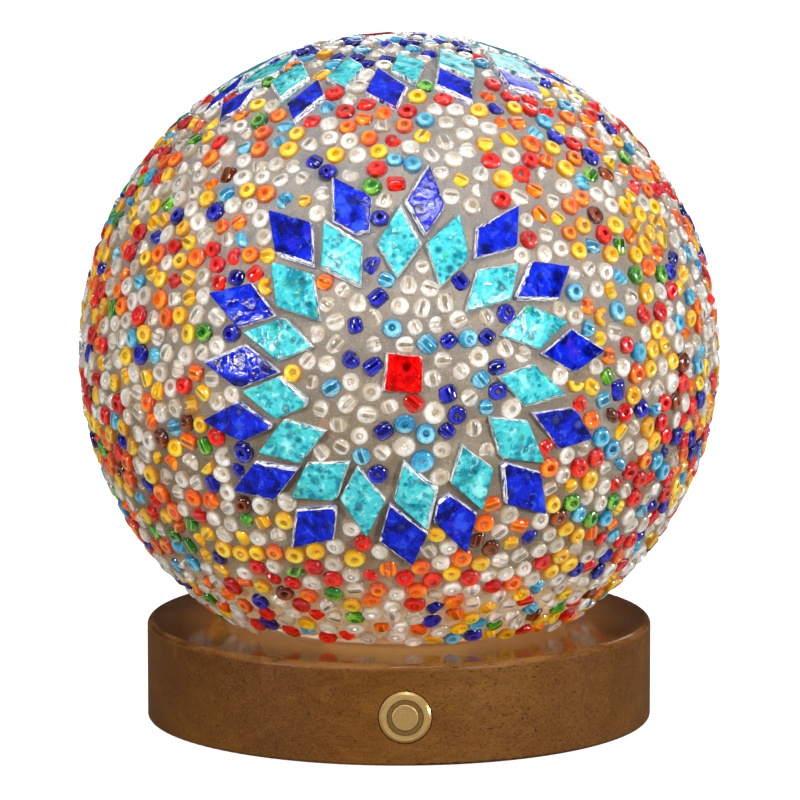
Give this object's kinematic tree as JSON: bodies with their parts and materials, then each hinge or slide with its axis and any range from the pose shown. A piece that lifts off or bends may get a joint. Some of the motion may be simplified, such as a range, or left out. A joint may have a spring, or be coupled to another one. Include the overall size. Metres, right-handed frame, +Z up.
{
  "type": "mosaic glass table lamp",
  "caption": "Cordless table lamp: a glass globe coated with rhombic glass tiles and seed beads in cement, on a turned wooden base with an LED module, battery and a brass push switch.",
  "frame": {"origin": "centre of the face the lamp stands on", "axes": "+Z up along the globe's axis; -Y is the front with the push switch; +Y is the back with the charging port"},
  "size_m": [0.1524, 0.1524, 0.1636],
  "materials": {
    "walnut_wood": "satin lacquer",
    "clear_glass": "clear, blown",
    "bead_glass": "mixed clear, amber, orange, red, green and blue seed beads",
    "cobalt_glass": "mottled sheet glass, silvered back",
    "turquoise_glass": "mottled sheet glass, silvered back",
    "red_glass": "sheet glass, silvered back",
    "cement": "matt, off-white",
    "brass": "brushed",
    "dark_ring": "translucent, olive brown",
    "black_pad": "matt foam rubber",
    "fibreboard": "hard fibreboard, painted",
    "steel": "zinc plated",
    "white_plastic": "matt white",
    "frosted_plastic": "frosted, light-diffusing",
    "silicone": "translucent silicone",
    "white_board": "white solder mask",
    "green_board": "green solder mask",
    "led_phosphor": "yellow phosphor",
    "black_plastic": "matt",
    "pouch_foil": "matt foil",
    "foam_tape": "foam, adhesive both sides",
    "red_insulation": "silicone insulation",
    "black_insulation": "silicone insulation",
    "white_insulation": "silicone insulation"
  },
  "bodies": {
    "lamp": {"wood_base": "walnut_wood", "bottom_cover": "fibreboard", "cover_screws": "steel", "base_pad": "black_pad", "led_carrier": "white_plastic", "carrier_screws": "steel", "led_board": "white_board", "led_chips": "led_phosphor", "led_diffuser": "frosted_plastic", "glass_globe": "clear_glass", "neck_gasket": "silicone", "cement_bed": "cement", "cobalt_tiles": "cobalt_glass", "turquoise_tiles": "turquoise_glass", "red_tiles": "red_glass", "bead_coat": "bead_glass", "switch_bezel": "brass", "switch_light_ring": "dark_ring", "switch_core": "black_plastic", "switch_spring": "steel", "switch_nut": "brass", "switch_washer": "steel", "switch_terminals": "brass", "battery_cell": "pouch_foil", "battery_tape": "foam_tape", "charger_board": "green_board", "board_standoffs": "white_plastic", "board_screws": "steel", "board_components": "black_plastic", "usb_socket": "steel", "usb_tongue": "black_plastic", "battery_lead_plus": "red_insulation", "battery_lead_minus": "black_insulation", "led_lead_plus": "red_insulation", "led_lead_minus": "black_insulation", "switch_lead_a": "white_insulation", "switch_lead_b": "black_insulation"},
    "button": {"switch_cap": "brass"}
  },
  "joints": [
    {"name": "switch_press", "type": "slide", "parent": "lamp", "child": "button", "axis": [0, 1, 0], "range_m": [0, 0.001], "stiffness_N_per_m": 900, "springref_m": -0.0015, "deforming": ["switch_spring"]}
  ]
}
